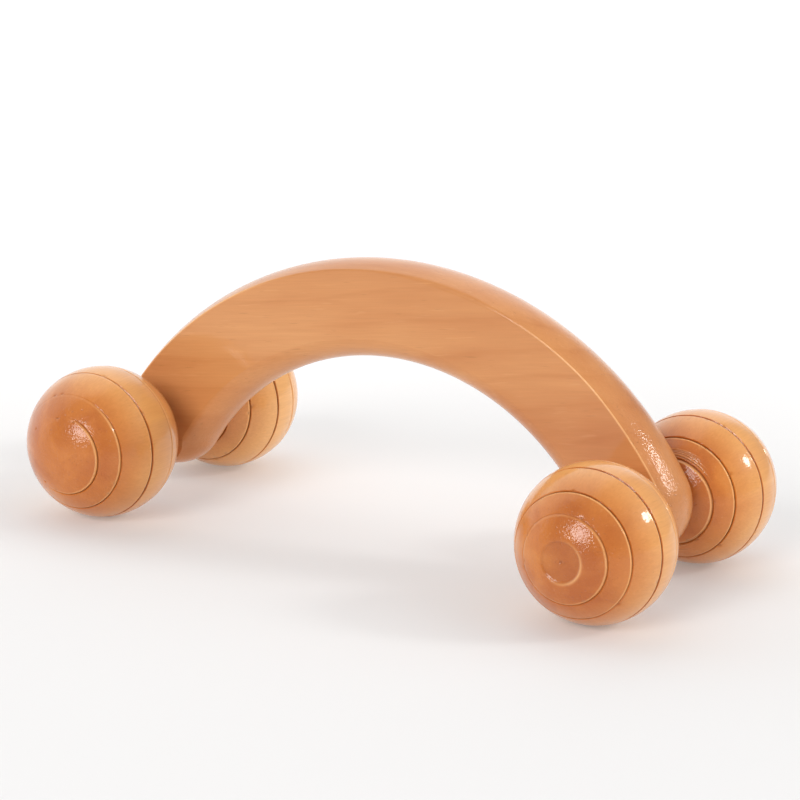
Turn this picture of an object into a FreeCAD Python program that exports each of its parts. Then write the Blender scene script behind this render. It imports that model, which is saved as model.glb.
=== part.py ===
import FreeCAD, Part
import math
import os

# Foot massage roller: a bow-shaped wooden handle standing on two wheelsets.
# Each wheelset is a steel axle with a grooved wooden ball pressed on each end.
# Frame: X runs along the bow, Y along the axles (front is -Y), Z is up.
# The origin is on the floor, under the middle of the handle. Millimetres.

os.makedirs("parts", exist_ok=True)
Vec = FreeCAD.Vector
ORIGIN = Vec(0, 0, 0)
UP = Vec(0, 0, 1)
AXLE_DIRECTION = Vec(0, 1, 0)
# How far a cutter reaches past the wood it cuts.
cutter_overrun = 1.0

# Balls
ball_radius = 20.0
wheelbase = 146.0
track = 60.0
inner_flat_offset = 19.4
dish_rim_radius = 5.6
dish_floor_radius = 4.8
dish_depth = 0.42
centre_mark_radius = 0.45
centre_mark_depth = 0.4
# Distance of each groove from the ball's middle plane, positive towards the outside.
groove_offsets = [-16.6, -12.4, -4.0, 4.0, 12.4, 16.6]
groove_width = 0.6
groove_depth = 0.5
hub_groove_width = 0.85

# Handle
handle_thickness = 15.0
crown_top = 74.15
crown_underside = 48.5
outer_arc_radius = 95.4
inner_arc_radius = 66.6
tip_radius = 13.59
outer_edge_radius = 17.0
outer_cutter_depth = 2.5
inner_edge_radius = 7.8
inner_cutter_half_width = 7.75
inner_cutter_depth = 2.5
blank_allowance = 1.0

# Axles and their running bores
axle_radius = 2.5
running_clearance = 0.06
axle_half_length = 36.0
axle_end_chamfer = 0.6
press_start = 12.5
press_interference = 0.05
flute_count = 12
flute_radius = 0.3
flute_centre_rise = 0.1
bore_mouth_chamfer = 0.5
blind_bore_past_centre = 6.5
drill_point_height = 1.5

# Spacers between ball and handle
spacer_radius = 5.0
spacer_bore_radius = 2.6
spacer_gap = 0.35
spacer_chamfer = 0.4


def line(start, end):
    return Part.makeLine(start, end)


def arc(start, middle, end):
    return Part.Arc(start, middle, end).toShape()


def turned(edges, centre):
    """Solid of revolution of a closed profile about a line through centre along the axles."""
    wire = Part.Wire(Part.__sortEdges__(edges))
    return Part.Face(wire).revolve(centre, AXLE_DIRECTION, 360)


def turned_polygon(points):
    """Solid of revolution about the Y axis of a closed polygon."""
    return Part.Face(Part.makePolygon(points)).revolve(ORIGIN, AXLE_DIRECTION, 360)


def face_the_front(shape):
    """Half a turn about Z, so that what pointed to the rear points to the front."""
    shape.rotate(ORIGIN, UP, 180)


def on_circle(centre, radius, angle):
    """Point in the side view, angle from +X towards +Z."""
    return centre + Vec(radius * math.cos(angle), 0, radius * math.sin(angle))


def mirrored(point):
    return Vec(-point.x, point.y, point.z)


# ---------------------------------------------------------------- handle
half_thickness = handle_thickness / 2
outer_centre = Vec(0, 0, crown_top - outer_arc_radius)
inner_centre = Vec(0, 0, crown_underside - inner_arc_radius)

# The tip circle touches the outer arc from inside and the inner arc from outside.
outer_reach = outer_arc_radius - tip_radius
inner_reach = inner_arc_radius + tip_radius
centre_step = inner_centre.z - outer_centre.z
tip_rise = (outer_reach ** 2 - inner_reach ** 2 + centre_step ** 2) / (2 * centre_step)
tip_centre = Vec(math.sqrt(outer_reach ** 2 - tip_rise ** 2), 0, outer_centre.z + tip_rise)
outer_joint_angle = math.atan2(tip_rise, tip_centre.x)
inner_joint_angle = math.atan2(inner_centre.z - tip_centre.z, -tip_centre.x)
tip_middle_angle = (outer_joint_angle + inner_joint_angle) / 2


def bow_points(allowance):
    """Joint and middle points of the side outline's right half, grown by allowance."""
    outer_joint = on_circle(tip_centre, tip_radius + allowance, outer_joint_angle)
    tip_middle = on_circle(tip_centre, tip_radius + allowance, tip_middle_angle)
    inner_joint = on_circle(tip_centre, tip_radius + allowance, inner_joint_angle)
    top = Vec(0, 0, crown_top + allowance)
    underside = Vec(0, 0, crown_underside - allowance)
    return outer_joint, tip_middle, inner_joint, top, underside


def handle_blank():
    """The bow sawn out of a board, with square edges and wood left on for the cutters."""
    outer_joint, tip_middle, inner_joint, top, underside = bow_points(blank_allowance)
    outline = Part.Wire([
        arc(mirrored(outer_joint), top, outer_joint),
        arc(outer_joint, tip_middle, inner_joint),
        arc(inner_joint, underside, mirrored(inner_joint)),
        arc(mirrored(inner_joint), mirrored(tip_middle), mirrored(outer_joint)),
    ])
    outline.translate(-AXLE_DIRECTION * half_thickness)
    return Part.Face(outline).extrude(AXLE_DIRECTION * handle_thickness)


def outer_edge_cutter():
    """Leaves a shallow crown, with crisp corners, along the top edge and round the tips."""
    outer_joint, tip_middle, inner_joint, top, _ = bow_points(0)
    spine = Part.Wire([
        arc(mirrored(inner_joint), mirrored(tip_middle), mirrored(outer_joint)),
        arc(mirrored(outer_joint), top, outer_joint),
        arc(outer_joint, tip_middle, inner_joint),
    ])
    start = mirrored(inner_joint)
    outward = start - mirrored(tip_centre)
    outward.normalize()
    side = AXLE_DIRECTION * (half_thickness + cutter_overrun)
    drop = outward * (outer_edge_radius - math.sqrt(outer_edge_radius ** 2 - side.Length ** 2))
    rise = outward * outer_cutter_depth
    profile = Part.Wire([
        arc(start - drop - side, start, start - drop + side),
        line(start - drop + side, start + rise + side),
        line(start + rise + side, start + rise - side),
        line(start + rise - side, start - drop - side),
    ])
    return spine.makePipeShell([profile], True, True)


def inner_edge_cutter():
    """Leaves the underside of the bow almost fully round, running out at the tips."""
    side = inner_cutter_half_width
    drop = inner_edge_radius - math.sqrt(inner_edge_radius ** 2 - side ** 2)
    apex = inner_centre + Vec(inner_arc_radius, 0, 0)
    far_front = apex + Vec(drop, -side, 0)
    far_rear = apex + Vec(drop, side, 0)
    near_front = apex + Vec(-inner_cutter_depth, -side, 0)
    near_rear = apex + Vec(-inner_cutter_depth, side, 0)
    return turned([
        arc(far_front, apex, far_rear),
        line(far_rear, near_rear),
        line(near_rear, near_front),
        line(near_front, far_front),
    ], inner_centre)


def axle_bore(axle_x):
    """Running bore through the handle, with a small chamfer at each mouth."""
    radius = axle_radius + running_clearance
    cone_end_radius = radius + 2 * bore_mouth_chamfer
    length = handle_thickness + 2 * cutter_overrun
    centre = Vec(axle_x, 0, ball_radius)
    shape = Part.makeCylinder(radius, length, centre - AXLE_DIRECTION * length / 2, AXLE_DIRECTION)
    for side in (-1, 1):
        base = centre + AXLE_DIRECTION * side * (half_thickness - bore_mouth_chamfer)
        cone = Part.makeCone(radius, cone_end_radius, 2 * bore_mouth_chamfer, base, AXLE_DIRECTION * side)
        shape = shape.fuse(cone)
    return shape


def make_handle():
    shape = handle_blank().cut(outer_edge_cutter()).cut(inner_edge_cutter())
    for axle_x in (-wheelbase / 2, wheelbase / 2):
        shape = shape.cut(axle_bore(axle_x))
    return shape.removeSplitter()


# ---------------------------------------------------------------- balls
def ball_point(radius, angle):
    """Point of a turned profile: angle from the middle plane towards the outside."""
    return Vec(radius * math.cos(angle), radius * math.sin(angle), 0)


def sphere_arc(start_angle, end_angle):
    middle_angle = (start_angle + end_angle) / 2
    start = ball_point(ball_radius, start_angle)
    end = ball_point(ball_radius, end_angle)
    return arc(start, ball_point(ball_radius, middle_angle), end)


def ball_profile():
    """Half section of a ball at the origin, its outer pole towards +Y."""
    flat_y = -inner_flat_offset
    flat_rim = Vec(math.sqrt(ball_radius ** 2 - inner_flat_offset ** 2), flat_y, 0)
    bore_mouth = Vec(axle_radius + bore_mouth_chamfer, flat_y, 0)
    bore_start = Vec(axle_radius, flat_y + bore_mouth_chamfer, 0)
    bore_end = Vec(axle_radius, blind_bore_past_centre, 0)
    drill_point = Vec(0, blind_bore_past_centre + drill_point_height, 0)
    # The outer pole has a shallow flat-floored dish with the lathe's centre mark in it.
    dish_rim = Vec(dish_rim_radius, math.sqrt(ball_radius ** 2 - dish_rim_radius ** 2), 0)
    floor_y = dish_rim.y - dish_depth
    dish_floor_rim = Vec(dish_floor_radius, floor_y, 0)
    mark_rim = Vec(centre_mark_radius, floor_y, 0)
    mark_bottom = Vec(0, floor_y - centre_mark_depth, 0)
    edges = [
        line(flat_rim, bore_mouth),
        line(bore_mouth, bore_start),
        line(bore_start, bore_end),
        line(bore_end, drill_point),
        line(drill_point, mark_bottom),
        line(mark_bottom, mark_rim),
        line(mark_rim, dish_floor_rim),
        line(dish_floor_rim, dish_rim),
    ]
    angle = -math.asin(inner_flat_offset / ball_radius)
    for index, offset in enumerate(groove_offsets):
        width = hub_groove_width if index == 0 else groove_width
        middle = math.asin(offset / ball_radius)
        half_angle = width / 2 / ball_radius
        lower = ball_point(ball_radius, middle - half_angle)
        bottom = ball_point(ball_radius - groove_depth, middle)
        upper = ball_point(ball_radius, middle + half_angle)
        edges.append(sphere_arc(angle, middle - half_angle))
        edges.append(line(lower, bottom))
        edges.append(line(bottom, upper))
        angle = middle + half_angle
    edges.append(sphere_arc(angle, math.acos(dish_rim_radius / ball_radius)))
    return edges


def make_ball(side, axle_x):
    """side is -1 for a front ball and +1 for a rear ball."""
    shape = turned(ball_profile(), ORIGIN)
    if side < 0:
        face_the_front(shape)
    shape.translate(Vec(axle_x, side * track / 2, ball_radius))
    return shape


# ---------------------------------------------------------------- axles
def make_axle(axle_x):
    """Plain journal in the middle, fluted press zones inside the balls."""
    press_radius = axle_radius + press_interference
    step_end = press_start + press_interference
    chamfer_start = axle_half_length - axle_end_chamfer
    half_axle = turned_polygon([
        Vec(0, 0, 0),
        Vec(axle_radius, 0, 0),
        Vec(axle_radius, press_start, 0),
        Vec(press_radius, step_end, 0),
        Vec(press_radius, chamfer_start, 0),
        Vec(press_radius - axle_end_chamfer, axle_half_length, 0),
        Vec(0, axle_half_length, 0),
        Vec(0, 0, 0),
    ])
    flute_start = Vec(0, step_end + cutter_overrun, 0)
    flute_length = axle_half_length + cutter_overrun - flute_start.y
    for index in range(flute_count):
        angle = 2 * math.pi * index / flute_count
        start = on_circle(flute_start, press_radius + flute_centre_rise, angle)
        half_axle = half_axle.cut(Part.makeCylinder(flute_radius, flute_length, start, AXLE_DIRECTION))
    front_half = half_axle.copy()
    face_the_front(front_half)
    shape = half_axle.fuse(front_half).removeSplitter()
    shape.translate(Vec(axle_x, 0, ball_radius))
    return shape


# ---------------------------------------------------------------- spacers
def make_spacer(side, axle_x):
    """Turned ring that rests on the ball's inner flat and stands clear of the handle."""
    near = half_thickness + spacer_gap
    far = track / 2 - inner_flat_offset
    shape = turned_polygon([
        Vec(spacer_bore_radius, near, 0),
        Vec(spacer_radius - spacer_chamfer, near, 0),
        Vec(spacer_radius, near + spacer_chamfer, 0),
        Vec(spacer_radius, far - spacer_chamfer, 0),
        Vec(spacer_radius - spacer_chamfer, far, 0),
        Vec(spacer_bore_radius, far, 0),
        Vec(spacer_bore_radius, near, 0),
    ])
    if side < 0:
        face_the_front(shape)
    shape.translate(Vec(axle_x, 0, ball_radius))
    return shape


# ---------------------------------------------------------------- write the parts
parts = {"handle": make_handle()}
for end_name, end in (("left", -1), ("right", 1)):
    axle_x = end * wheelbase / 2
    parts["axle_" + end_name] = make_axle(axle_x)
    for side_name, side in (("front", -1), ("rear", 1)):
        parts["ball_" + side_name + "_" + end_name] = make_ball(side, axle_x)
        parts["spacer_" + side_name + "_" + end_name] = make_spacer(side, axle_x)

for name, shape in parts.items():
    if shape.ShapeType != "Solid":
        shape = shape.Solids[0]
    shape.exportStep("parts/" + name + ".step")
    print(name, shape.isValid(), len(shape.Faces), round(shape.Volume, 1))
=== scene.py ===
import math

import bpy
import numpy as np
from mathutils import Matrix, Vector


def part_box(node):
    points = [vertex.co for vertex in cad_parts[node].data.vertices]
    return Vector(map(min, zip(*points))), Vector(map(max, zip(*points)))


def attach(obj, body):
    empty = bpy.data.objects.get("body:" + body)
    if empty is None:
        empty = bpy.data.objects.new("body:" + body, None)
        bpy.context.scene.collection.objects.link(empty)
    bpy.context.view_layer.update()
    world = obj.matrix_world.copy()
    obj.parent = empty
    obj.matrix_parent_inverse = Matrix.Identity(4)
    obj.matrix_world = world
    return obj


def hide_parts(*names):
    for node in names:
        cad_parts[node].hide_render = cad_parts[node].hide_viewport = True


# Foot massage roller: a bow-shaped wooden handle standing on two pairs of grooved wooden balls.
# Everything is in metres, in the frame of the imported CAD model: X along the bow, Y along the
# axles with the front at -Y, Z up, the floor at Z = 0. Mesh sections are worked out in
# millimetres and scaled as the mesh is written.

MM = 0.001

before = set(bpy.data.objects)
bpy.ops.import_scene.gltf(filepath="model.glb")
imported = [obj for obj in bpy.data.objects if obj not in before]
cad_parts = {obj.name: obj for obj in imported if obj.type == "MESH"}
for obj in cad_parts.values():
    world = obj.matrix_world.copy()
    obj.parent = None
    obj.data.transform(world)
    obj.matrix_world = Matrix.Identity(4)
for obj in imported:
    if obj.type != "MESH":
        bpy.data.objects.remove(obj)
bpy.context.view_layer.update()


def centre_of(node):
    low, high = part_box(node)
    return (low + high) / 2


# ---------------------------------------------------------------- camera
CAMERA_POSITION = Vector((0.36910, -0.65417, 0.23782))
CAMERA_AZIMUTH = math.radians(29.430)
CAMERA_ELEVATION = math.radians(14.953)
CAMERA_ROLL = math.radians(2.334)
CAMERA_LENS = 134.24
SENSOR_WIDTH = 36.0


def make_camera():
    az, el, roll = CAMERA_AZIMUTH, CAMERA_ELEVATION, CAMERA_ROLL
    forward = Vector((-math.sin(az) * math.cos(el), math.cos(az) * math.cos(el), -math.sin(el)))
    right = forward.cross(Vector((0, 0, 1))).normalized()
    up = right.cross(forward)
    axis_x = math.cos(roll) * right + math.sin(roll) * up
    axis_y = -math.sin(roll) * right + math.cos(roll) * up
    data = bpy.data.cameras.new("camera")
    data.lens = CAMERA_LENS
    data.sensor_width = SENSOR_WIDTH
    data.clip_start = 0.01
    data.clip_end = 50
    camera = bpy.data.objects.new("camera", data)
    rotation = Matrix((axis_x, axis_y, -forward)).transposed()
    camera.matrix_world = Matrix.Translation(CAMERA_POSITION) @ rotation.to_4x4()
    bpy.context.scene.collection.objects.link(camera)
    bpy.context.scene.camera = camera


# ---------------------------------------------------------------- smooth repeatable variation
class Waves:
    """A smooth, periodic, seeded function of an angle, about -1 to 1."""

    def __init__(self, seed, lowest, highest):
        rng = np.random.default_rng(seed)
        self.orders = np.arange(lowest, highest + 1)
        self.phases = rng.uniform(0, 2 * math.pi, len(self.orders))
        self.sizes = rng.uniform(0.4, 1.0, len(self.orders)) / np.sqrt(self.orders)
        self.sizes /= self.sizes.sum() * 0.6

    def __call__(self, angle):
        total = np.zeros_like(angle)
        for order, phase, size in zip(self.orders, self.phases, self.sizes):
            total = total + size * np.sin(order * angle + phase)
        return total


class Ripple:
    """A smooth seeded function of a point in millimetres, about -1 to 1."""

    def __init__(self, seed, wavelengths, count=14):
        rng = np.random.default_rng(seed)
        self.directions = rng.normal(size=(count, 3))
        self.directions /= np.linalg.norm(self.directions, axis=1)[:, None]
        self.directions *= 2 * math.pi / np.array(wavelengths, float)[:, None]
        self.phases = rng.uniform(0, 2 * math.pi, count)

    def __call__(self, points):
        return np.sin(points @ self.directions.T + self.phases).mean(1) * 2


def smoothstep(value):
    value = np.clip(value, 0, 1)
    return value * value * (3 - 2 * value)


def new_mesh_object(name, points_mm, faces):
    mesh = bpy.data.meshes.new(name)
    mesh.from_pydata((np.asarray(points_mm) * MM).tolist(), [], faces)
    mesh.validate()
    mesh.shade_smooth()
    obj = bpy.data.objects.new(name, mesh)
    bpy.context.scene.collection.objects.link(obj)
    return obj


def add_point_value(obj, name, values):
    attribute = obj.data.attributes.new(name, "FLOAT", "POINT")
    attribute.data.foreach_set("value", np.asarray(values, np.float32))


def sharpen(obj, degrees):
    """Edges that turn by more than this are drawn sharp."""
    obj.data.set_sharp_from_angle(angle=math.radians(degrees))


# ---------------------------------------------------------------- handle
HALF_THICKNESS = 7.5
CROWN_TOP = 74.15
CROWN_UNDERSIDE = 48.5
OUTER_ARC_RADIUS = 95.4
INNER_ARC_RADIUS = 66.6
TIP_RADIUS = 13.59
OUTER_SECTION_RADIUS = 17.0
INNER_SECTION_RADIUS = 7.8
# The angle round a tip over which the round underside runs out into the shallow crown.
RUN_OUT = math.radians(48)
# The radius of the corner between side and crown: on the legs, what is added over the crown,
# and what is added once more round its softest place. The underside's corner has its own.
LEG_CORNER = 0.25
CROWN_CORNER_EXTRA = 0.35
SOFTEST_CORNER_EXTRA = 1.2
SOFTEST_CORNER_X = 18
SOFTEST_CORNER_REACH = 15
CROWN_CORNER_ENDS_X = 46
CROWN_CORNER_RUN = 14
UNDERSIDE_CORNER = 0.6
# Extra sanding of the front corner of the right leg.
LEG_SANDING_DEPTH = 0.7
LEG_SANDING_STARTS_X = 54
LEG_SANDING_RUN = 22
LEG_SANDING_POWER = 1.5
# Where the crisp corners of the legs are painted pale, partly for wear and partly as a painted highlight
# along the corner.
WEAR_AND_HIGHLIGHT_STARTS_X = 32
WEAR_AND_HIGHLIGHT_RUN = 22
# Hand sanding: how uneven it leaves the sides, and over what lengths.
SANDING_HEIGHT = 0.035
SANDING_LENGTHS = [38, 33, 29, 45, 52, 24, 31, 41, 36, 27, 48, 30, 34, 60]
SIDE_STARTS_Y = 5
SIDE_RUN = 2.4
BORE_RADIUS = 2.56
BORE_MOUTH = 0.5
CUTTER_OVERRUN = 1
# How finely the mesh is divided.
TIP_STEPS = 64
ARC_STEPS = 300
CROWN_STEPS = 26
CORNER_STEPS = 5
SIDE_STEPS = 22
BORE_STEPS = 64
# A narrow strip of faces along each corner keeps the shading of the broad faces flat.
CROWN_STRIP = 0.12
SIDE_STRIP = 0.2
HANDLE_SHARP_ANGLE = 32

outer_centre = np.array([0, CROWN_TOP - OUTER_ARC_RADIUS])
inner_centre = np.array([0, CROWN_UNDERSIDE - INNER_ARC_RADIUS])
outer_reach = OUTER_ARC_RADIUS - TIP_RADIUS
inner_reach = INNER_ARC_RADIUS + TIP_RADIUS
centre_step = inner_centre[1] - outer_centre[1]
tip_rise = (outer_reach ** 2 - inner_reach ** 2 + centre_step ** 2) / (2 * centre_step)
tip_centre = np.array([math.sqrt(outer_reach ** 2 - tip_rise ** 2), outer_centre[1] + tip_rise])
outer_joint = math.atan2(tip_rise, tip_centre[0])
inner_joint = math.atan2(inner_centre[1] - tip_centre[1], -tip_centre[0])
tip_middle = (outer_joint + inner_joint) / 2
inner_end = math.atan2(tip_centre[1] - inner_centre[1], tip_centre[0])


def half_outline(outer):
    """Points, normals and section settings from the left tip's middle to the right one's."""
    joint = outer_joint if outer else inner_joint
    tip_angles = np.linspace(joint, tip_middle, TIP_STEPS + 1)
    tip_normals = np.stack([np.cos(tip_angles), np.sin(tip_angles)], 1)
    tip_points = tip_centre + TIP_RADIUS * tip_normals
    if outer:
        angles = np.linspace(math.pi - outer_joint, outer_joint, ARC_STEPS + 1)
        arc_normals = np.stack([np.cos(angles), np.sin(angles)], 1)
        arc_points = outer_centre + OUTER_ARC_RADIUS * arc_normals
        arc_round = np.zeros(len(angles))
        tip_round = np.zeros(len(tip_angles))
    else:
        angles = np.linspace(math.pi - inner_end, inner_end, ARC_STEPS + 1)
        radial = np.stack([np.cos(angles), np.sin(angles)], 1)
        arc_points = inner_centre + INNER_ARC_RADIUS * radial
        arc_normals = -radial
        arc_round = np.ones(len(angles))
        tip_round = 1 - smoothstep((tip_angles - inner_joint) / RUN_OUT)
    mirror = np.array([-1, 1])
    points = np.concatenate([(tip_points * mirror)[:0:-1], arc_points, tip_points[1:]])
    normals = np.concatenate([(tip_normals * mirror)[:0:-1], arc_normals, tip_normals[1:]])
    roundness = np.concatenate([tip_round[:0:-1], arc_round, tip_round[1:]])
    return points, normals, roundness


def corner_radius(points, roundness):
    """The corner between side and crown is crisp on the legs and eased over the crown,
    most of all just right of the middle."""
    x = points[:, 0]
    eased = smoothstep((CROWN_CORNER_ENDS_X - np.abs(x)) / CROWN_CORNER_RUN)
    softest = np.exp(-((x - SOFTEST_CORNER_X) / SOFTEST_CORNER_REACH) ** 2)
    outer = LEG_CORNER + CROWN_CORNER_EXTRA * eased + SOFTEST_CORNER_EXTRA * eased * softest
    return outer * (1 - roundness) + UNDERSIDE_CORNER * roundness


def leg_sanding(points, roundness):
    """How much deeper the front corner of the right leg was sanded."""
    onto_leg = smoothstep((points[:, 0] - LEG_SANDING_STARTS_X) / LEG_SANDING_RUN)
    return LEG_SANDING_DEPTH * onto_leg * (1 - roundness)


def section(roundness, corner, sanded):
    """Depth below the outline and distance from the middle plane, front side to rear side."""
    curvature = (1 - roundness) / OUTER_SECTION_RADIUS + roundness / INNER_SECTION_RADIUS
    radius = 1 / curvature
    centre_side = HALF_THICKNESS - corner
    centre_depth = radius - math.sqrt((radius - corner) ** 2 - centre_side ** 2)
    tangent = math.asin(centre_side / (radius - corner))
    inset = tangent - CROWN_STRIP / radius
    crown = np.concatenate([[-tangent], np.linspace(-inset, inset, CROWN_STEPS - 1), [tangent]])
    crown_side = radius * np.sin(crown)
    crown_depth = radius - radius * np.cos(crown)
    turn = np.linspace(math.pi / 2, tangent, CORNER_STEPS + 1)[:-1]
    corner_side = centre_side + corner * np.sin(turn)
    corner_depth = centre_depth - corner * np.cos(turn)
    side = np.concatenate([-corner_side, crown_side, corner_side[::-1]])
    depth = np.concatenate([corner_depth, crown_depth, corner_depth[::-1]])
    depth = depth + sanded * np.clip(-side / HALF_THICKNESS, 0, 1) ** LEG_SANDING_POWER
    return depth, side


def side_faces(vertices, count, across, half):
    """The flat sides, as rows from the outer corner to the inner one. The rows' own vertices
    are added to the list of vertices."""
    faces = []
    for end in (0, across - 1):
        previous = None
        for k in range(half):
            upper = k * across + end
            lower = (count - k) % count * across + end
            row = [upper]
            if 0 < k < half - 1:
                start, stop = vertices[upper], vertices[lower]
                margin = min(SIDE_STRIP / np.linalg.norm(stop - start), 0.5 / SIDE_STEPS)
                shares = np.linspace(0, 1, SIDE_STEPS + 1)[1:-1]
                for share in np.concatenate([[margin], shares, [1 - margin]]):
                    row.append(len(vertices))
                    vertices.append(start + share * (stop - start))
                row.append(lower)
            if previous is not None:
                faces += strip_between(previous, row, end != 0)
            previous = row
    return faces


def make_handle():
    outer, inner = half_outline(True), half_outline(False)
    # One closed loop: outer half left to right, inner half right to left, tip middles shared.
    points, normals, roundness = [np.concatenate([first, second[-2:0:-1]])
                                  for first, second in zip(outer, inner)]
    corners = corner_radius(points, roundness)
    sanded = leg_sanding(points, roundness)
    count = len(points)
    across = CROWN_STEPS + 1 + 2 * CORNER_STEPS
    vertices = np.zeros((count * across, 3))
    for i in range(count):
        depth, side = section(roundness[i], corners[i], sanded[i])
        rows = slice(i * across, (i + 1) * across)
        vertices[rows, 0] = points[i, 0] - depth * normals[i, 0]
        vertices[rows, 1] = side
        vertices[rows, 2] = points[i, 1] - depth * normals[i, 1]
    faces = []
    for i in range(count):
        a, b = i * across, (i + 1) % count * across
        faces += [(a + j, a + j + 1, b + j + 1, b + j) for j in range(across - 1)]
    vertices = list(vertices)
    faces += side_faces(vertices, count, across, len(outer[0]))
    vertices = np.array(vertices)
    # Hand sanding leaves the sides very slightly uneven.
    y = vertices[:, 1]
    outward = np.sign(y) * smoothstep((np.abs(y) - SIDE_STARTS_Y) / SIDE_RUN)
    vertices[:, 1] += outward * SANDING_HEIGHT * Ripple(11, SANDING_LENGTHS)(vertices)
    handle = new_mesh_object("bow_handle", vertices, faces)
    # The crisp outer corners of the legs are painted pale, partly for wear and partly as a painted
    # highlight along the corner, more in some places than in others.
    wear_and_highlight = smoothstep((np.abs(points[:, 0]) - WEAR_AND_HIGHLIGHT_STARTS_X) / WEAR_AND_HIGHLIGHT_RUN)
    wear_and_highlight = wear_and_highlight * (1 - smoothstep(roundness * 3))
    wear_and_highlight = wear_and_highlight * (0.8 + 0.3 * Waves(19, 5, 60)(points[:, 0] / 30))
    on_corner = np.zeros(across)
    on_corner[:CORNER_STEPS + 1] = 1
    on_corner[-CORNER_STEPS - 1:] = 1
    edge_values = np.zeros(len(vertices))
    edge_values[:count * across] = np.outer(wear_and_highlight, on_corner).ravel()
    add_point_value(handle, "edge", edge_values)
    for node in ("axle_left", "axle_right"):
        centre = centre_of(node)
        cut_away(handle, bore_cutter(centre.x / MM, centre.z / MM))
    sharpen(handle, HANDLE_SHARP_ANGLE)
    return handle


def cut_away(obj, cutter):
    modifier = obj.modifiers.new("bore", "BOOLEAN")
    modifier.operation = "DIFFERENCE"
    modifier.solver = "EXACT"
    modifier.object = cutter
    bpy.context.view_layer.objects.active = obj
    bpy.ops.object.modifier_apply(modifier=modifier.name)
    bpy.data.objects.remove(cutter)


def strip_between(first, second, flip):
    """Faces between two rows of vertices, where a row of one vertex makes a fan."""
    if len(first) == 1:
        faces = [(first[0], second[j], second[j + 1]) for j in range(len(second) - 1)]
    elif len(second) == 1:
        faces = [(first[j + 1], first[j], second[0]) for j in range(len(first) - 1)]
    else:
        faces = [(first[j], second[j], second[j + 1], first[j + 1]) for j in range(len(first) - 1)]
    return [face[::-1] for face in faces] if flip else faces


def bore_cutter(x, z):
    """The solid that a through bore takes away, with a bevel at each mouth."""
    mouth = BORE_RADIUS + BORE_MOUTH
    past_side = HALF_THICKNESS + CUTTER_OVERRUN
    profile = [
        (0, -past_side),
        (mouth + CUTTER_OVERRUN, -past_side),
        (mouth, -HALF_THICKNESS),
        (BORE_RADIUS, -HALF_THICKNESS + BORE_MOUTH),
        (BORE_RADIUS, HALF_THICKNESS - BORE_MOUTH),
        (mouth, HALF_THICKNESS),
        (mouth + CUTTER_OVERRUN, past_side),
        (0, past_side),
    ]
    vertices, faces = lathe([p[0] for p in profile], [p[1] for p in profile], BORE_STEPS)
    vertices = vertices + np.array([x, 0, z])
    return new_mesh_object("cutter", vertices, faces)


def lathe(radii, heights, steps):
    """A closed turned solid about Y from a profile that starts and ends on the axis.
    radii and heights may vary with the angle: arrays of profile points by steps."""
    radii, heights = np.array(radii, float), np.array(heights, float)
    if radii.ndim == 1:
        radii = np.repeat(radii[:, None], steps, 1)
        heights = np.repeat(heights[:, None], steps, 1)
    angles = np.linspace(0, 2 * math.pi, steps, endpoint=False)
    rings = np.stack([radii * np.cos(angles), heights, radii * np.sin(angles)], 2)[1:-1]
    first = np.array([[0, heights[0].mean(), 0]])
    last = np.array([[0, heights[-1].mean(), 0]])
    count = len(rings)
    vertices = np.concatenate([first, rings.reshape(-1, 3), last])
    faces = []
    for i in range(steps):
        j = (i + 1) % steps
        faces.append((0, 1 + i, 1 + j))
        for k in range(count - 1):
            a, b = 1 + k * steps, 1 + (k + 1) * steps
            faces.append((a + i, b + i, b + j, a + j))
        a = 1 + (count - 1) * steps
        faces.append((a + i, len(vertices) - 1, a + j))
    return vertices, faces


# ---------------------------------------------------------------- balls
BALL_RADIUS = 20.0
INNER_FLAT = 19.4
GROOVE_OFFSETS = [-16.6, -12.4, -4.0, 4.0, 12.4, 16.6]
GROOVE_WIDTH = 0.8
HUB_GROOVE_WIDTH = 1.0
GROOVE_DEPTH = 0.36
# A groove's shallow wall is this many times its half width, and its steep wall the rest.
SHALLOW_WALL = 1.55
STEEP_WALL = 0.45
# How much a groove's depth and width vary round the ball, and how wide an arc it fades over.
DEPTH_VARIATION = 0.25
WIDTH_VARIATION = 0.2
FADE_SPREAD = 0.72
LIP_HEIGHT = 0.03
LIP_REACH = 0.2
CHIP_DEPTH = 0.22
CHIP_SIZES = (0.25, 0.55)
# Torn lines: depth, half width, heights above the middle plane, and half lengths as angles.
TEAR_DEPTH = 0.1
TEAR_REACH = 0.13
TEAR_OFFSETS = (-18.2, -14.4)
TEAR_LENGTHS = (0.35, 0.8)
FORM_ERROR = 0.035
OUT_OF_ROUND = 0.03
HIGHEST_RIDGE = 0.05
AXLE_RADIUS = 2.5
BLIND_BORE = 6.5
DRILL_POINT = 1.5
DISH_RADIUS = 5.6
DISH_WALL = 0.9
DISH_RIM_REACH = 0.35
# The angle on a front ball's pole at which its rim gets a painted highlight: lower right.
DISH_HIGHLIGHT_ANGLE = 3.6
MARK_RADIUS = 0.5
MARK_DEPTH = 0.25
# How finely the mesh is divided: steps round the ball, and rows of vertices by arc length.
BALL_STEPS = 300
PLAIN_ROWS = 76
ROWS_BESIDE_GROOVE = [0.04, 0.09, 0.15, 0.2, 0.25, 0.3, 0.35, 0.42, 0.52, 0.7]
GROOVE_ROOM = 0.85
ROWS_BY_POLE = [0.2, 0.35, 0.45, 0.55, 0.7]
ROWS_BY_DISH_RIM = [-0.3, -0.1, 0.1, 0.3, 0.5, 0.7, 0.9, 1.1]
POLE_ROOM = 0.05
TEAR_ROWS = np.arange(-23.6, -15.6, 0.14)
BALL_SHARP_ANGLE = 38


def arc_at(offset):
    """Arc length from the middle plane to a height above it."""
    return BALL_RADIUS * math.asin(offset / BALL_RADIUS)


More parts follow.
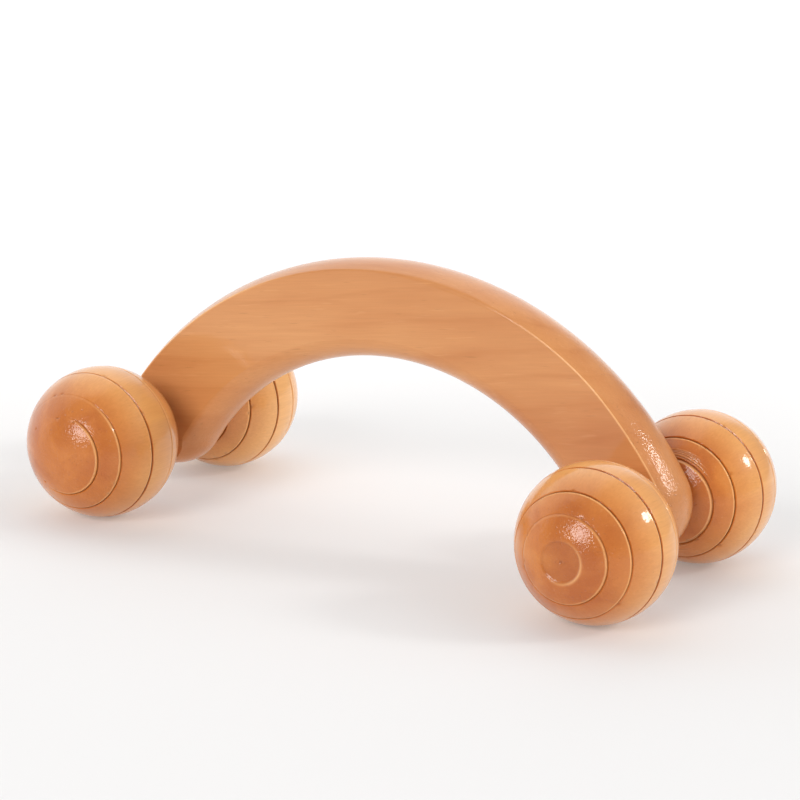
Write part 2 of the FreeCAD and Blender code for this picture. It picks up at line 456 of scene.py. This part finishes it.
def ball_rows(shift, torn):
    """Arc lengths of the rows of vertices from the inner flat to the pole, fine at each groove."""
    start = -BALL_RADIUS * math.asin(INNER_FLAT / BALL_RADIUS)
    stop = BALL_RADIUS * math.pi / 2
    rows = list(np.linspace(start, stop, PLAIN_ROWS)[:-1])
    for offset in GROOVE_OFFSETS:
        middle = arc_at(offset)
        if offset > 0:
            middle += shift
        rows = [row for row in rows if abs(row - middle) > GROOVE_ROOM]
        rows += [middle] + [middle + step for step in ROWS_BESIDE_GROOVE]
        rows += [middle - step for step in ROWS_BESIDE_GROOVE]
    rows += [stop - step for step in ROWS_BY_POLE]
    rows += [stop - DISH_RADIUS + step for step in ROWS_BY_DISH_RIM]
    rows = np.unique(np.round([row for row in rows if start <= row < stop - POLE_ROOM], 5))
    return np.unique(np.concatenate([rows, TEAR_ROWS])) if torn else rows


class BallSurface:
    """The turned surface on a grid of arc length by angle, with the values that steer its colour: groove
    is 1 in a cut or hollow, which it darkens partly for gathered stain and partly as painted shade, and
    lip is 1 on a raised edge or rim, which it lightens partly for wear and partly as a painted
    highlight."""

    def __init__(self, rows):
        self.angles = np.linspace(0, 2 * math.pi, BALL_STEPS, endpoint=False)
        self.arc = np.repeat(rows[:, None], BALL_STEPS, 1)
        self.radius = np.full(self.arc.shape, BALL_RADIUS)
        self.groove = np.zeros(self.arc.shape)
        self.lip = np.zeros(self.arc.shape)

    def cut_groove(self, index, look, rng):
        angles = self.angles
        offset = GROOVE_OFFSETS[index]
        strength, fade, fade_angle = look["grooves"][index]
        width = HUB_GROOVE_WIDTH if index == 0 else GROOVE_WIDTH
        seed = look["seed"]
        drift = Waves(seed * 31 + index, 1, 5)(angles)
        fine = Waves(seed * 57 + index, 9, 60)(angles)
        moved = look["shift"] if index > 2 else 0.0
        middle = arc_at(offset) + moved + look["wander"] * drift
        depth = GROOVE_DEPTH * strength * (1 + DEPTH_VARIATION * fine)
        depth = depth * (1 - fade * smoothstep(FADE_SPREAD + FADE_SPREAD * np.cos(angles - fade_angle)))
        half = width / 2 * (1 + WIDTH_VARIATION * Waves(seed * 91 + index, 7, 40)(angles))
        distance = self.arc - middle
        # A shallow wall on the pole side falls to a steep wall on the side of the middle plane.
        across = distance / half * np.sign(offset)
        shape = np.where(across > STEEP_WALL - 1, (1 - across) / SHALLOW_WALL, (across + 1) / STEEP_WALL)
        shape = np.clip(shape, 0, 1)
        self.radius -= depth * shape
        deep = np.clip(depth / GROOVE_DEPTH, 0, 1.2)
        # The deep part of the cut is darkened, partly for stain gathered there and partly as painted
        # shade.
        self.groove = np.maximum(self.groove, smoothstep((shape - 0.45) * 2.2) * deep)
        # A slightly raised lip on the pole side of the cut, painted pale there: partly worn lacquer,
        # partly a painted highlight.
        edge = np.exp(-((distance * np.sign(offset) - half * 0.85) / LIP_REACH) ** 2)
        self.radius += LIP_HEIGHT * edge * deep
        self.lip = np.maximum(self.lip, edge * deep)
        # Grain torn out beside the cut, its hollow darkened partly as torn grain and partly as painted
        # shade.
        ring_share = math.cos(math.asin(offset / BALL_RADIUS))
        for _ in range(int(rng.integers(look["chips"], look["chips"] + 4))):
            at = rng.uniform(0, 2 * math.pi)
            side = rng.choice([-1, 1])
            size = rng.uniform(*CHIP_SIZES)
            along = np.angle(np.exp(1j * (angles - at))) * BALL_RADIUS * ring_share
            beside = distance - side * half * 1.2
            chip = np.exp(-(along / size) ** 2 - (beside / (size * 0.45)) ** 2)
            self.radius -= CHIP_DEPTH * chip
            self.groove = np.maximum(self.groove, 0.7 * chip)

    def tear_line(self, rng):
        """A curved line torn by the tool near the hub: its hollow is darkened, partly torn grain and
        partly painted shade, and the edge beside it is lightened, partly torn grain and partly a painted
        highlight.
        """
        at = rng.uniform(0, 2 * math.pi)
        middle = arc_at(rng.uniform(*TEAR_OFFSETS))
        reach = rng.uniform(*TEAR_LENGTHS)
        away = np.angle(np.exp(1j * (self.angles - at)))
        slant = middle + rng.uniform(-0.5, 0.5) * away
        length = np.exp(-(away / reach) ** 4)
        tear = length * np.exp(-((self.arc - slant) / TEAR_REACH) ** 2)
        beside = length * np.exp(-((self.arc - slant - 0.3) / TEAR_REACH) ** 2)
        self.radius -= TEAR_DEPTH * tear
        self.groove = np.maximum(self.groove, 0.8 * tear)
        self.lip = np.maximum(self.lip, 0.7 * beside)

    def finish(self, seed, dish_depth):
        """Radii and heights of the finished surface, dished at the pole."""
        # Turning by hand leaves the form a few hundredths of a millimetre uneven.
        form = Waves(seed * 13, 2, 6)(self.arc / BALL_RADIUS * 1.7 + seed)
        out_of_round = Waves(seed * 17, 2, 4)(self.angles)
        radius = self.radius + FORM_ERROR * form + OUT_OF_ROUND * out_of_round
        radius = np.minimum(radius, BALL_RADIUS + HIGHEST_RIDGE)
        turn = self.arc / BALL_RADIUS
        ring = radius * np.cos(turn)
        height = radius * np.sin(turn)
        if not dish_depth:
            return ring, height
        outer_pole = height > 0
        hollow = smoothstep((DISH_RADIUS - ring) / DISH_WALL)
        rim = np.exp(-((ring - DISH_RADIUS) / DISH_RIM_REACH) ** 2)
        dish_floor = math.sqrt(BALL_RADIUS ** 2 - DISH_RADIUS ** 2) - dish_depth
        height = np.where(outer_pole, height + (dish_floor - height) * hollow - 0.05 * rim, height)
        # Painted shade darkens the dish, and a painted highlight lightens the lower right of its rim.
        self.groove = np.maximum(self.groove, 0.2 * hollow * outer_pole)
        highlight_side = 0.5 + 0.5 * np.cos(self.angles - DISH_HIGHLIGHT_ANGLE)
        highlight_rim = np.exp(-((ring - DISH_RADIUS + 0.2) / DISH_RIM_REACH) ** 2)
        self.lip = np.maximum(self.lip, 1.1 * highlight_side ** 2 * highlight_rim * outer_pole)
        # The lathe centre leaves a small mark in the middle of the dish, darkened in its hollow as
        # painted shade.
        mark = np.exp(-(ring / MARK_RADIUS) ** 2) * outer_pole
        height = height - MARK_DEPTH * mark
        self.groove = np.maximum(self.groove, 0.8 * mark)
        return ring, height


def make_ball(name, outward, look):
    """outward is -1 for a front ball and +1 for a rear ball."""
    rng = np.random.default_rng(look["seed"])
    surface = BallSurface(ball_rows(look["shift"], look["torn_lines"]))
    for index in range(len(GROOVE_OFFSETS)):
        surface.cut_groove(index, look, rng)
    for _ in range(look["torn_lines"]):
        surface.tear_line(rng)
    ring, height = surface.finish(look["seed"], look["dish_depth"])
    tip_height = height[-1].mean() - 0.03
    mouth = AXLE_RADIUS + BORE_MOUTH
    # The blind bore and the inner flat, with close pairs of rings that keep their edges crisp.
    bore = [
        (0, BLIND_BORE + DRILL_POINT),
        (AXLE_RADIUS - 0.05, BLIND_BORE + 0.05),
        (AXLE_RADIUS, BLIND_BORE),
        (AXLE_RADIUS, BLIND_BORE - 0.1),
        (AXLE_RADIUS, -INNER_FLAT + BORE_MOUTH + 0.1),
        (AXLE_RADIUS, -INNER_FLAT + BORE_MOUTH),
        (mouth, -INNER_FLAT),
        (mouth + 0.1, -INNER_FLAT),
        (4.2, -INNER_FLAT),
        (4.7, -INNER_FLAT),
    ]
    ones = np.ones(BALL_STEPS)
    radii = np.concatenate([[r * ones for r, _ in bore], ring, [0 * ones]])
    heights = np.concatenate([[h * ones for _, h in bore], height, [tip_height * ones]])
    vertices, faces = lathe(radii, heights, BALL_STEPS)
    if outward < 0:
        # Half a turn about Z, so that the outer pole faces the front.
        vertices = vertices * np.array([-1, -1, 1])
    in_bore = np.zeros((len(bore) - 1) * BALL_STEPS)
    # Where there is a dish, the pole's own vertex takes the centre mark's painted shade.
    tip_groove = 0.6 * (look["dish_depth"] > 0)
    ball = new_mesh_object(name, vertices, faces)
    add_point_value(ball, "groove", np.concatenate([[0], in_bore, surface.groove.ravel(), [tip_groove]]))
    add_point_value(ball, "lip", np.concatenate([[0], in_bore, surface.lip.ravel(), [0]]))
    sharpen(ball, BALL_SHARP_ANGLE)
    return ball


# ---------------------------------------------------------------- materials
class Shader:
    """A node material: add() makes a node, and inputs take values or other nodes' sockets."""

    def __init__(self, name):
        self.material = bpy.data.materials.new(name)
        self.material.use_nodes = True
        self.tree = self.material.node_tree
        self.tree.nodes.clear()

    def add(self, kind, settings=None, **inputs):
        node = self.tree.nodes.new(kind)
        for key, value in (settings or {}).items():
            setattr(node, key, value)
        for key, value in inputs.items():
            self.put(node.inputs[key.replace("_", " ")], value)
        return node

    def put(self, socket, value):
        if isinstance(value, bpy.types.NodeSocket):
            self.tree.links.new(value, socket)
        else:
            socket.default_value = value

    def math(self, operation, *values, clamp=False):
        node = self.add("ShaderNodeMath", {"operation": operation, "use_clamp": clamp})
        for socket, value in zip(node.inputs, values):
            self.put(socket, value)
        return node.outputs[0]

    def noise(self, vector, scale, detail, roughness=0.5, distortion=0.0):
        node = self.add("ShaderNodeTexNoise", {"noise_dimensions": "3D"}, Vector=vector, Scale=scale,
                        Detail=detail, Roughness=roughness, Distortion=distortion)
        return node.outputs["Fac"]

    def stretched(self, vector, scale, offset=(0, 0, 0), rotation=(0, 0, 0)):
        node = self.add("ShaderNodeMapping", {"vector_type": "POINT"}, Vector=vector,
                        Location=offset, Rotation=rotation, Scale=scale)
        return node.outputs[0]

    def span(self, value, low, high):
        """Smooth step from 0 at low to 1 at high."""
        node = self.add("ShaderNodeMapRange", {"interpolation_type": "SMOOTHSTEP"}, Value=value)
        node.inputs["From Min"].default_value = low
        node.inputs["From Max"].default_value = high
        return node.outputs[0]

    def ramp(self, value, stops, interpolation="EASE"):
        node = self.add("ShaderNodeValToRGB", Fac=value)
        ramp = node.color_ramp
        ramp.interpolation = interpolation
        while len(ramp.elements) < len(stops):
            ramp.elements.new(0.5)
        for element, (position, level) in zip(ramp.elements, stops):
            element.position = position
            colour = level if isinstance(level, tuple) else (level, level, level)
            element.color = (*colour, 1)
        return node.outputs["Color"]

    def mix(self, share, first, second):
        node = self.add("ShaderNodeMix", {"data_type": "RGBA", "blend_type": "MIX"})
        self.put(node.inputs["Factor"], share)
        self.put(node.inputs["A"], first)
        self.put(node.inputs["B"], second)
        return next(o for o in node.outputs if o.type == "RGBA" and o.enabled)

    def principled(self, **inputs):
        shader = self.add("ShaderNodeBsdfPrincipled")
        for key, value in inputs.items():
            self.put(shader.inputs[key.replace("_", " ")], value)
        output = self.add("ShaderNodeOutputMaterial")
        self.tree.links.new(shader.outputs[0], output.inputs["Surface"])
        return shader


def rgb(*values):
    """A colour written as 0 to 255 display values, as the linear values that shaders use."""
    linear = []
    for value in values:
        v = value / 255
        linear.append(v / 12.92 if v <= 0.04045 else ((v + 0.055) / 1.055) ** 2.4)
    return tuple(linear)


# POCKET_BROWN darkens pores, and also the cuts and hollows of the balls, partly for gathered stain and
# partly as painted shade.
POCKET_BROWN = rgb(112, 56, 22)
GLINT_CREAM = rgb(240, 188, 132)
LIP_AMBER = rgb(246, 188, 124)
END_GRAIN = rgb(188, 112, 52)
PALE_HONEY = rgb(250, 196, 126)
EDGE_CREAM = rgb(252, 198, 136)

# How much of each thing shows in the wood.
RING_SHARE = 0.15
STREAK_SHARE = 0.47
BLOTCH_SHARE = 0.38
HEARTWOOD_SHARE = 0.28
POLE_DARKENING = 0.4
EQUATOR_LIGHTENING = 0.22
END_GRAIN_SHARE = 0.45
PALE_SHARE = 0.42
FIBRE_SHARE = 0.14
FIBRE_DARKNESS = 0.66
PORE_SHARE = 0.3
GLINT_SHARE = 0.22
EDGE_SHARE = 0.8
LIP_SHARE = 0.55
GROOVE_SHARE = 0.62
SIDE_RELIEF = 0.06
RELIEF_HEIGHT = 0.0002


def wood(name, along, light, middle, dark, coat, seed, end_relief, pores, tilt=0.0, figure=1.0,
         board=False, pale=0.0):
    """Lacquered solid wood whose grain runs along X (0) or Y (1) of the object. tilt leans the grain up
    towards +X, board is true for the handle and false for a ball, pale makes a ball lighter than the
    others as painted light, and coat is the lacquer's weight and roughness."""
    s = Shader(name)
    coordinates = s.add("ShaderNodeTexCoord").outputs
    normal = s.add("ShaderNodeSeparateXYZ", Vector=coordinates["Normal"]).outputs
    place = coordinates["Object"]
    if tilt:
        place = s.stretched(place, (1, 1, 1), rotation=(0, tilt, 0))

    def grain(along_scale, across_scale, offset=0.0):
        scale = [across_scale] * 3
        scale[along] = along_scale
        shift = (offset + seed * 3.7, offset - seed * 1.3, seed * 2.1)
        return s.stretched(place, tuple(scale), offset=shift)

    # Growth rings: soft bands that wander along the grain.
    bend = s.noise(grain(7, 22), 1.0, detail=2)
    sideways = s.add("ShaderNodeSeparateXYZ", Vector=grain(4, 120)).outputs
    across = sideways["Z"] if along == 0 else sideways["X"]
    through = sideways["Y"] if along == 0 else sideways["Z"]
    ring = s.math("ADD", across, s.math("MULTIPLY", through, 0.35))
    ring = s.math("ADD", ring, s.math("MULTIPLY", bend, 3.0))
    ring = s.math("FRACT", ring)
    ring = s.ramp(ring, [(0.0, 0.25), (0.2, 0.0), (0.7, 0.5), (0.9, 1.0), (1.0, 0.25)])
    # Broad uneven streaks and larger warm patches.
    streak = s.noise(grain(13, 105), 1.0, detail=4, roughness=0.55, distortion=0.25)
    streak = s.ramp(streak, [(0.3, 0.0), (0.5, 0.5), (0.72, 1.0)])
    blotch = s.noise(grain(16, 34, 7), 1.0, detail=2)
    blotch = s.ramp(blotch, [(0.3, 0.0), (0.7, 1.0)])
    tone = s.math("ADD", s.math("MULTIPLY", ring, RING_SHARE * figure),
                  s.math("MULTIPLY", streak, STREAK_SHARE))
    tone = s.math("ADD", tone, s.math("MULTIPLY", blotch, BLOTCH_SHARE))
    if board:
        # Darker heartwood runs through the right shoulder of the bow.
        length = s.add("ShaderNodeSeparateXYZ", Vector=place).outputs["X"]
        into = s.span(length, 0.004, 0.034)
        out_of = s.span(length, 0.064, 0.078)
        heart = s.math("MULTIPLY", into, s.math("SUBTRACT", 1.0, out_of))
        tone = s.math("ADD", tone, s.math("MULTIPLY", heart, HEARTWOOD_SHARE))
    else:
        # A turned ball is paler round the middle, where the cut runs along the grain.
        pole = s.span(s.math("ABSOLUTE", normal["Y"]), 0.1, 0.85)
        tone = s.math("ADD", tone, s.math("MULTIPLY_ADD", pole, POLE_DARKENING, -EQUATOR_LIGHTENING))
    colour = s.ramp(tone, [(0.1, light), (0.5, middle), (0.9, dark)], "LINEAR")
    if board:
        # End grain drinks more lacquer.
        end = s.span(s.math("ABSOLUTE", normal["X"]), 0.3, 0.95)
        colour = s.mix(s.math("MULTIPLY", end, END_GRAIN_SHARE), colour, (*END_GRAIN, 1))
    else:
        # Paler towards the middle of the ball, and paler all over by pale, which is painted light.
        share = s.math("MULTIPLY_ADD", pole, -PALE_SHARE, PALE_SHARE + pale)
        colour = s.mix(share, colour, (*PALE_HONEY, 1))
    # Fine fibres and short pores.
    fibre = s.noise(grain(60, 2100, 3), 1.0, detail=3, roughness=0.6)
    fibre_level = s.ramp(fibre, [(0.3, 0.0), (0.7, 1.0)], "LINEAR")
    fibre_dark = tuple(c * FIBRE_DARKNESS for c in dark) + (1,)
    colour = s.mix(s.math("MULTIPLY", fibre_level, FIBRE_SHARE), colour, fibre_dark)
    pore = s.noise(grain(150, 1700, 5), 1.0, detail=1)
    pore_level = s.ramp(pore, [(0.68, 0.0), (0.76, 1.0)], "LINEAR")
    colour = s.mix(s.math("MULTIPLY", pore_level, PORE_SHARE * pores), colour, (*POCKET_BROWN, 1))
    # Pale cream flecks are painted glints, standing in for the sparkle of light off open fibre ends.
    glint = s.noise(grain(120, 1200, 9), 1.0, detail=1)
    glint_level = s.ramp(glint, [(0.66, 0.0), (0.76, 1.0)], "LINEAR")
    colour = s.mix(s.math("MULTIPLY", glint_level, GLINT_SHARE * pores), colour, (*GLINT_CREAM, 1))
    if board:
        # The pale corners of the legs are partly wear and partly a painted highlight along the corner.
        edge = s.add("ShaderNodeAttribute", {"attribute_name": "edge"}).outputs["Fac"]
        colour = s.mix(s.math("MULTIPLY", edge, EDGE_SHARE, clamp=True), colour, (*EDGE_CREAM, 1))
    else:
        cut = s.add("ShaderNodeAttribute", {"attribute_name": "groove"}).outputs["Fac"]
        lip = s.add("ShaderNodeAttribute", {"attribute_name": "lip"}).outputs["Fac"]
        # Lips and rims are lightened partly for wear and partly as a painted highlight.
        colour = s.mix(s.math("MULTIPLY", lip, LIP_SHARE, clamp=True), colour, (*LIP_AMBER, 1))
        # Cuts, chips and torn lines are darkened partly for gathered stain and partly as painted shade;
        # the dish and the centre mark are darkened as painted shade.
        colour = s.mix(s.math("MULTIPLY", cut, GROOVE_SHARE, clamp=True), colour, (*POCKET_BROWN, 1))
    # The lacquer follows the open ends of the fibres, so end grain is a little rougher.
    open_end = s.noise(grain(240, 1900, 13), 1.0, detail=1, roughness=0.6)
    depth = s.math("ADD", s.math("MULTIPLY", open_end, 0.7), s.math("MULTIPLY", pore_level, -0.5))
    facing = s.math("POWER", s.math("ABSOLUTE", normal["X" if along == 0 else "Y"]), 2.0)
    strength = s.math("ADD", s.math("MULTIPLY", facing, end_relief), SIDE_RELIEF)
    bump = s.add("ShaderNodeBump", Strength=strength, Distance=RELIEF_HEIGHT, Height=depth)
    rough = s.ramp(streak, [(0.0, 0.36), (1.0, 0.5)], "LINEAR")
    s.principled(
        Base_Color=colour,
        Roughness=rough,
        IOR=1.5,
        Specular_IOR_Level=0.2,
        Coat_Weight=coat[0],
        Coat_Roughness=coat[1],
        Coat_IOR=1.5,
        Normal=bump.outputs[0],
        Coat_Normal=bump.outputs[0],
    )
    return s.material


def steel():
    s = Shader("drawn_steel")
    place = s.add("ShaderNodeTexCoord").outputs["Object"]
    lines = s.noise(s.stretched(place, (4000, 60, 4000)), 1.0, detail=3)
    stain = s.noise(place, 260.0, detail=3)
    colour = s.ramp(lines, [(0.3, rgb(150, 150, 152)), (0.7, rgb(196, 196, 198))])
    colour = s.mix(s.math("MULTIPLY", stain, 0.35), colour, (*rgb(138, 132, 126), 1))
    rough = s.ramp(lines, [(0.2, 0.24), (0.8, 0.42)])
    bump = s.add("ShaderNodeBump", Strength=0.2, Distance=0.0001, Height=lines)
    s.principled(Base_Color=colour, Metallic=1.0, Roughness=rough, Normal=bump.outputs[0])
    return s.material


def nylon():
    s = Shader("brown_nylon")
    place = s.add("ShaderNodeTexCoord").outputs["Object"]
    cloud = s.noise(place, 420.0, detail=3)
    lines = s.noise(s.stretched(place, (300, 6000, 300)), 1.0, detail=2)
    speck = s.ramp(s.noise(place, 2600.0, detail=1), [(0.66, 0.0), (0.74, 1.0)])
    colour = s.ramp(cloud, [(0.25, rgb(120, 78, 48)), (0.75, rgb(138, 92, 58))])
    colour = s.mix(s.math("MULTIPLY", speck, 0.25), colour, (*rgb(92, 58, 34), 1))
    rough = s.ramp(lines, [(0.2, 0.42), (0.8, 0.58)])
    bump = s.add("ShaderNodeBump", Strength=0.25, Distance=0.0001, Height=lines)
    s.principled(Base_Color=colour, Roughness=rough, IOR=1.53, Subsurface_Weight=0.15,
                 Subsurface_Radius=(0.0015, 0.0013, 0.001), Subsurface_Scale=1.0, Normal=bump.outputs[0])
    return s.material


# The floor glows least near the camera and most well behind the object, over this span of
# distances behind the origin, in metres.
GLOW_NEAR = 0.175
GLOW_FAR = 0.30
GLOW_SPAN = (-0.12, 0.35)


def paper():
    """A pale table lit a little from below, which keeps the shadows light."""
    s = Shader("floor_paper")
    place = s.add("ShaderNodeTexCoord").outputs["Object"]
    cloud = s.noise(place, 3.0, detail=2)
    tooth = s.noise(place, 900.0, detail=2)
    colour = s.ramp(cloud, [(0.3, (0.65, 0.65, 0.652)), (0.7, (0.665, 0.665, 0.667))])
    back = s.add("ShaderNodeVectorMath", {"operation": "DOT_PRODUCT"})
    s.put(back.inputs[0], place)
    s.put(back.inputs[1], Vector((-math.sin(CAMERA_AZIMUTH), math.cos(CAMERA_AZIMUTH), 0)))
    glow = s.add("ShaderNodeMapRange", {"interpolation_type": "SMOOTHSTEP"}, Value=back.outputs["Value"])
    glow.inputs["From Min"].default_value = GLOW_SPAN[0]
    glow.inputs["From Max"].default_value = GLOW_SPAN[1]
    glow.inputs["To Min"].default_value = GLOW_NEAR
    glow.inputs["To Max"].default_value = GLOW_FAR
    bump = s.add("ShaderNodeBump", Strength=0.03, Distance=0.0002, Height=tooth)
    s.principled(Base_Color=colour, Roughness=0.8, IOR=1.3, Normal=bump.outputs[0],
                 Emission_Color=(1, 1, 1, 1), Emission_Strength=glow.outputs[0])
    return s.material


# ---------------------------------------------------------------- light
# Each soft box: direction from the object, the angle it fills, strength, colour, and whether
# the lacquer mirrors it. The last three are bounce light off the studio walls.
SOFT_BOXES = {
    "key": (Vector((0.742, 0.420, 0.522)), math.radians(11), 0.65, (1.0, 0.99, 0.97), True),
    "front": (Vector((-0.015, -0.890, 0.454)), math.radians(26), 1.55, (1.0, 0.965, 0.955), True),
    "right_bounce": (Vector((0.95, 0.10, 0.27)), math.radians(50), 0.8, (1.0, 0.985, 0.96), False),
    "back_bounce": (Vector((0.59, 0.53, 0.62)), math.radians(50), 0.6, (1.0, 0.98, 0.96), False),
    "top_bounce": (Vector((0.0, 0.30, 0.95)), math.radians(60), 0.2, (1.0, 0.98, 0.96), False),
}
LIGHT_DISTANCE = 1.5
SKY_FRONT = 0.38
SKY_BACK = 1.45
# Azimuth, from +X, of the right-hand end of the backdrop.
BACKDROP_END = math.radians(93)


def soft_light(name, direction, spread, strength, colour, mirrored):
    """A distant round soft box: its spread is the angle it fills, seen from the object."""
    data = bpy.data.lights.new(name, "SUN")
    data.angle = spread
    data.energy = strength
    data.color = colour
    light = bpy.data.objects.new(name, data)
    light.visible_glossy = mirrored
    light.location = direction.normalized() * LIGHT_DISTANCE
    light.rotation_euler = direction.to_track_quat("Z", "Y").to_euler()
    bpy.context.scene.collection.objects.link(light)


def make_light():
    for name, settings in SOFT_BOXES.items():
        soft_light(name, *settings)
    world = bpy.data.worlds.new("studio")
    world.use_nodes = True
    tree = world.node_tree
    tree.nodes.clear()
    place = tree.nodes.new("ShaderNodeTexCoord")

    def beyond(direction, low, high):
        dot = tree.nodes.new("ShaderNodeVectorMath")
        dot.operation = "DOT_PRODUCT"
        dot.inputs[1].default_value = direction
        tree.links.new(place.outputs["Generated"], dot.inputs[0])
        ramp = tree.nodes.new("ShaderNodeMapRange")
        ramp.interpolation_type = "SMOOTHSTEP"
        ramp.inputs["From Min"].default_value = low
        ramp.inputs["From Max"].default_value = high
        tree.links.new(dot.outputs["Value"], ramp.inputs["Value"])
        return ramp.outputs[0]

    # The bright backdrop lies behind the object and ends a little right of straight behind.
    back = beyond(Vector((-math.sin(CAMERA_AZIMUTH), math.cos(CAMERA_AZIMUTH), 0)), -0.12, 0.08)
    left = beyond(Vector((-math.sin(BACKDROP_END), math.cos(BACKDROP_END), 0)), -0.12, 0.16)
    both = tree.nodes.new("ShaderNodeMath")
    both.operation = "MULTIPLY"
    tree.links.new(back, both.inputs[0])
    tree.links.new(left, both.inputs[1])
    level = tree.nodes.new("ShaderNodeMapRange")
    level.inputs["To Min"].default_value = SKY_FRONT
    level.inputs["To Max"].default_value = SKY_BACK
    tree.links.new(both.outputs[0], level.inputs["Value"])
    background = tree.nodes.new("ShaderNodeBackground")
    tree.links.new(level.outputs[0], background.inputs["Strength"])
    seen = tree.nodes.new("ShaderNodeBackground")
    seen.inputs["Strength"].default_value = 1.0
    path = tree.nodes.new("ShaderNodeLightPath")
    mix = tree.nodes.new("ShaderNodeMixShader")
    tree.links.new(path.outputs["Is Camera Ray"], mix.inputs[0])
    tree.links.new(background.outputs[0], mix.inputs[1])
    tree.links.new(seen.outputs[0], mix.inputs[2])
    output = tree.nodes.new("ShaderNodeOutputWorld")
    tree.links.new(mix.outputs[0], output.inputs["Surface"])
    bpy.context.scene.world = world


FLOOR_REACH = 6.0
FLOOR_STEPS = 24


def make_floor():
    steps = FLOOR_STEPS
    line = np.linspace(-FLOOR_REACH, FLOOR_REACH, steps + 1) / MM
    grid_x, grid_y = np.meshgrid(line, line)
    vertices = np.stack([grid_x.ravel(), grid_y.ravel(), np.zeros(grid_x.size)], 1)
    row = steps + 1
    faces = [(i * row + j, i * row + j + 1, (i + 1) * row + j + 1, (i + 1) * row + j)
             for i in range(steps) for j in range(steps)]
    floor = new_mesh_object("floor", vertices, faces)
    floor.data.materials.append(paper())


# ---------------------------------------------------------------- put together
scene = bpy.context.scene
scene.view_settings.view_transform = "Standard"
scene.view_settings.look = "None"

make_camera()
make_light()
make_floor()

handle = make_handle()
handle.data.materials.append(wood(
    "lacquered_bow_wood", 0, rgb(224, 160, 102), rgb(214, 146, 88), rgb(199, 126, 70), (0.8, 0.09), 1,
    end_relief=1.0, pores=0.5, tilt=math.radians(9), board=True))
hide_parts("handle")
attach(handle, "handle")

# Each groove from hub to outer pole: strength, how far it fades, the angle where it is faintest.
PLAIN = (1.0, 0.15, 0.0)
ROUGH = (1.35, 0.3, 3.6)
# wander is how far a groove strays, shift how much nearer the pole the outer grooves are, in
# millimetres, and chips the least number of chips along each groove.
BALLS = {
    "ball_front_left": dict(
        seed=3, dish_depth=0.0, wander=0.09, shift=0.85, chips=3, torn_lines=0, pale=0.0,
        grooves=[PLAIN, PLAIN, (1.1, 0.3, 0.4), (1.1, 0.7, 0.3), (1.1, 0.95, 0.5), (1.4, 1.0, 0.3)]),
    # pale brightens the rear left ball all over as painted light.
    "ball_rear_left": dict(
        seed=5, dish_depth=0.2, wander=0.09, shift=0.0, chips=9, torn_lines=6, pale=0.3,
        grooves=[ROUGH] * 6),
    "ball_front_right": dict(
        seed=7, dish_depth=0.42, wander=0.05, shift=0.0, chips=3, torn_lines=0, pale=0.0,
        grooves=[PLAIN, PLAIN, (0.7, 0.2, 0.0), PLAIN, (1.15, 0.5, 5.3), (0.9, 0.7, 0.4)]),
    "ball_rear_right": dict(
        seed=9, dish_depth=0.2, wander=0.05, shift=0.0, chips=5, torn_lines=14, pale=0.0,
        grooves=[(1.3, 0.2, 0.0), ROUGH, PLAIN, PLAIN, PLAIN, PLAIN]),
}
# From the middle of the handle to the middle of a ball, along the axle.
BALL_REACH = 0.030
for node, look in BALLS.items():
    centre = centre_of(node)
    outward = -1 if centre.y < 0 else 1
    end = "left" if centre.x < 0 else "right"
    axle = centre_of("axle_" + end)
    ball = make_ball("turned_" + node, outward, look)
    ball.location = (axle.x, outward * BALL_REACH, axle.z)
    ball.data.materials.append(wood(
        "turned_wood_" + node, 1, rgb(222, 146, 70), rgb(206, 122, 50), rgb(184, 98, 34), (0.85, 0.1),
        look["seed"], end_relief=0.8, pores=0.3, figure=0.4, pale=look["pale"]))
    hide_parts(node)
    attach(ball, "wheelset_" + end)

steel_material = steel()
nylon_material = nylon()
for name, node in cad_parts.items():
    if name.startswith("axle_"):
        node.material_slots[0].material = steel_material
    elif name.startswith("spacer_"):
        node.material_slots[0].material = nylon_material
